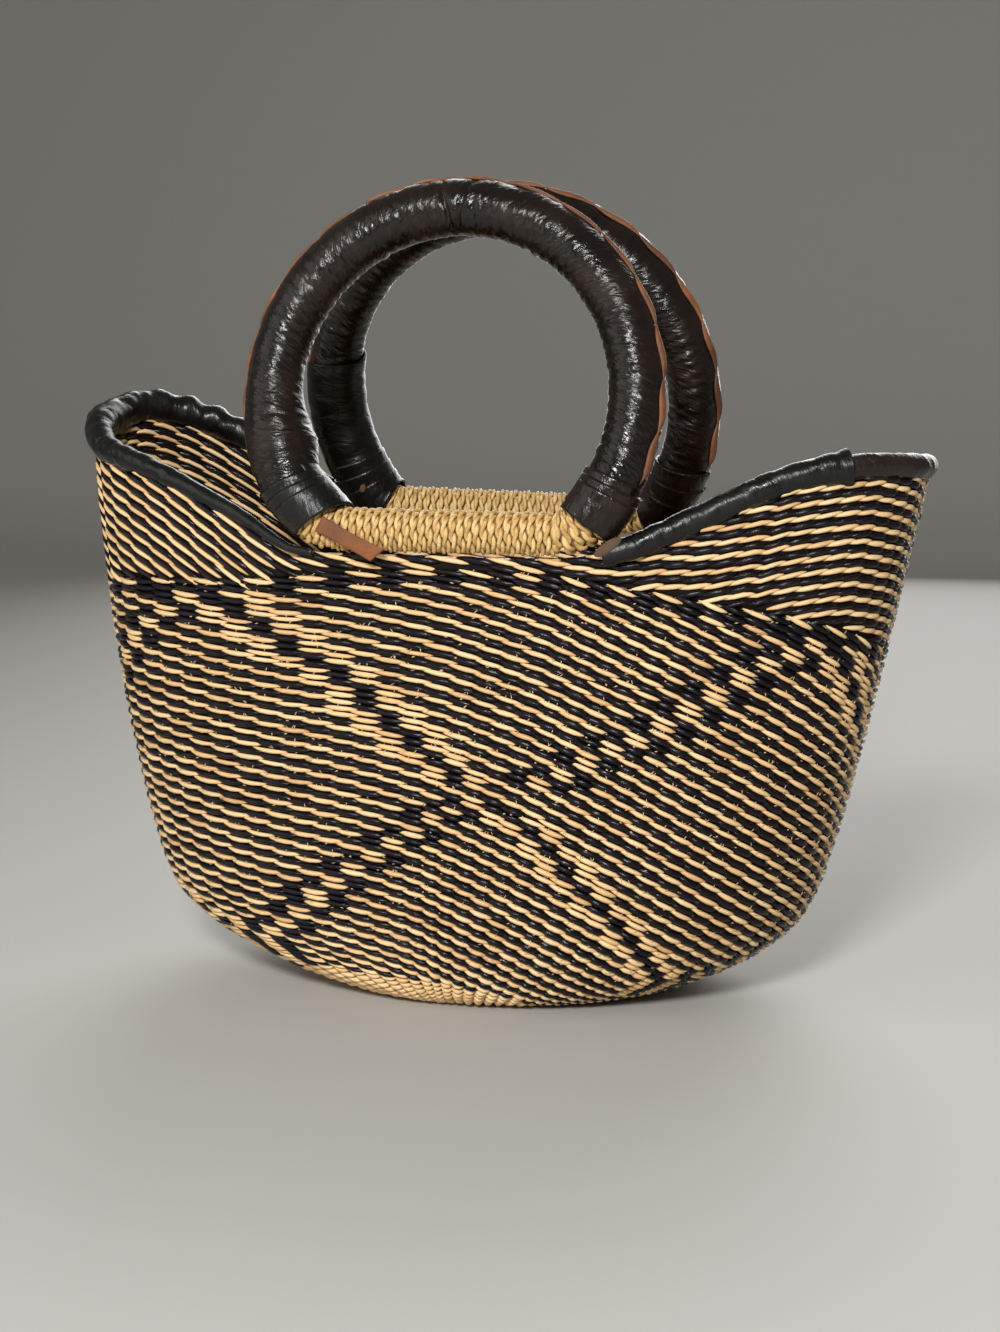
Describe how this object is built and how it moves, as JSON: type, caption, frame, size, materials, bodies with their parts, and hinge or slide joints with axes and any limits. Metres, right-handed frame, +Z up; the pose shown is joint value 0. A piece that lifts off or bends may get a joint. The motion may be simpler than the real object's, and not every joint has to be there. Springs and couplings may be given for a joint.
{
  "type": "straw handbag",
  "caption": "Oval twined straw handbag with raised wing ends, leather-bound rims and leather-covered ring handles that swing on straw-lashed bars.",
  "frame": {"origin": "middle of the bag's box, on the flat underside", "axes": "+X along the mouth towards the lower wing, +Y from the front handle to the back one, +Z up"},
  "size_m": [0.3802, 0.1628, 0.3526],
  "materials": {
    "pale_straw_weave": "satin natural straw, close twined rows",
    "striped_straw_weave": "satin straw, natural and near-black stitches in turn",
    "lashing_straw": "satin twisted straw cord",
    "straw_bundle": "rough straw, hidden",
    "rim_leather": "semi-gloss black, creased",
    "grip_leather": "glossy dark brown, puckered",
    "tan_leather": "matt tan, raw edges"
  },
  "bodies": {
    "basket": {"base_start": "pale_straw_weave", "body_wall": "striped_straw_weave", "left_wing": "striped_straw_weave", "right_wing": "striped_straw_weave", "left_rim_core": "straw_bundle", "right_rim_core": "straw_bundle", "left_rim_binding": "rim_leather", "right_front_binding": "rim_leather", "right_end_binding": "rim_leather", "front_bar_lashing": "lashing_straw", "back_bar_lashing": "lashing_straw", "front_thong_end": "tan_leather"},
    "front_handle": {"front_handle_core": "straw_bundle", "front_handle_cover": "grip_leather", "front_handle_lace": "tan_leather", "front_left_collar": "rim_leather", "front_right_collar": "rim_leather"},
    "back_handle": {"back_handle_core": "straw_bundle", "back_handle_cover": "grip_leather", "back_handle_lace": "tan_leather", "back_left_collar": "rim_leather", "back_right_collar": "rim_leather", "back_grip_patch": "grip_leather"}
  },
  "joints": [
    {"name": "front_handle_swing", "type": "hinge", "parent": "basket", "child": "front_handle", "pos_m": [-0.0034, -0.0635, 0.203], "axis": [1, 0, 0], "range_deg": [-7, 60]},
    {"name": "back_handle_swing", "type": "hinge", "parent": "basket", "child": "back_handle", "pos_m": [-0.0084, 0.0635, 0.203], "axis": [-1, 0, 0], "range_deg": [-7, 60]}
  ]
}
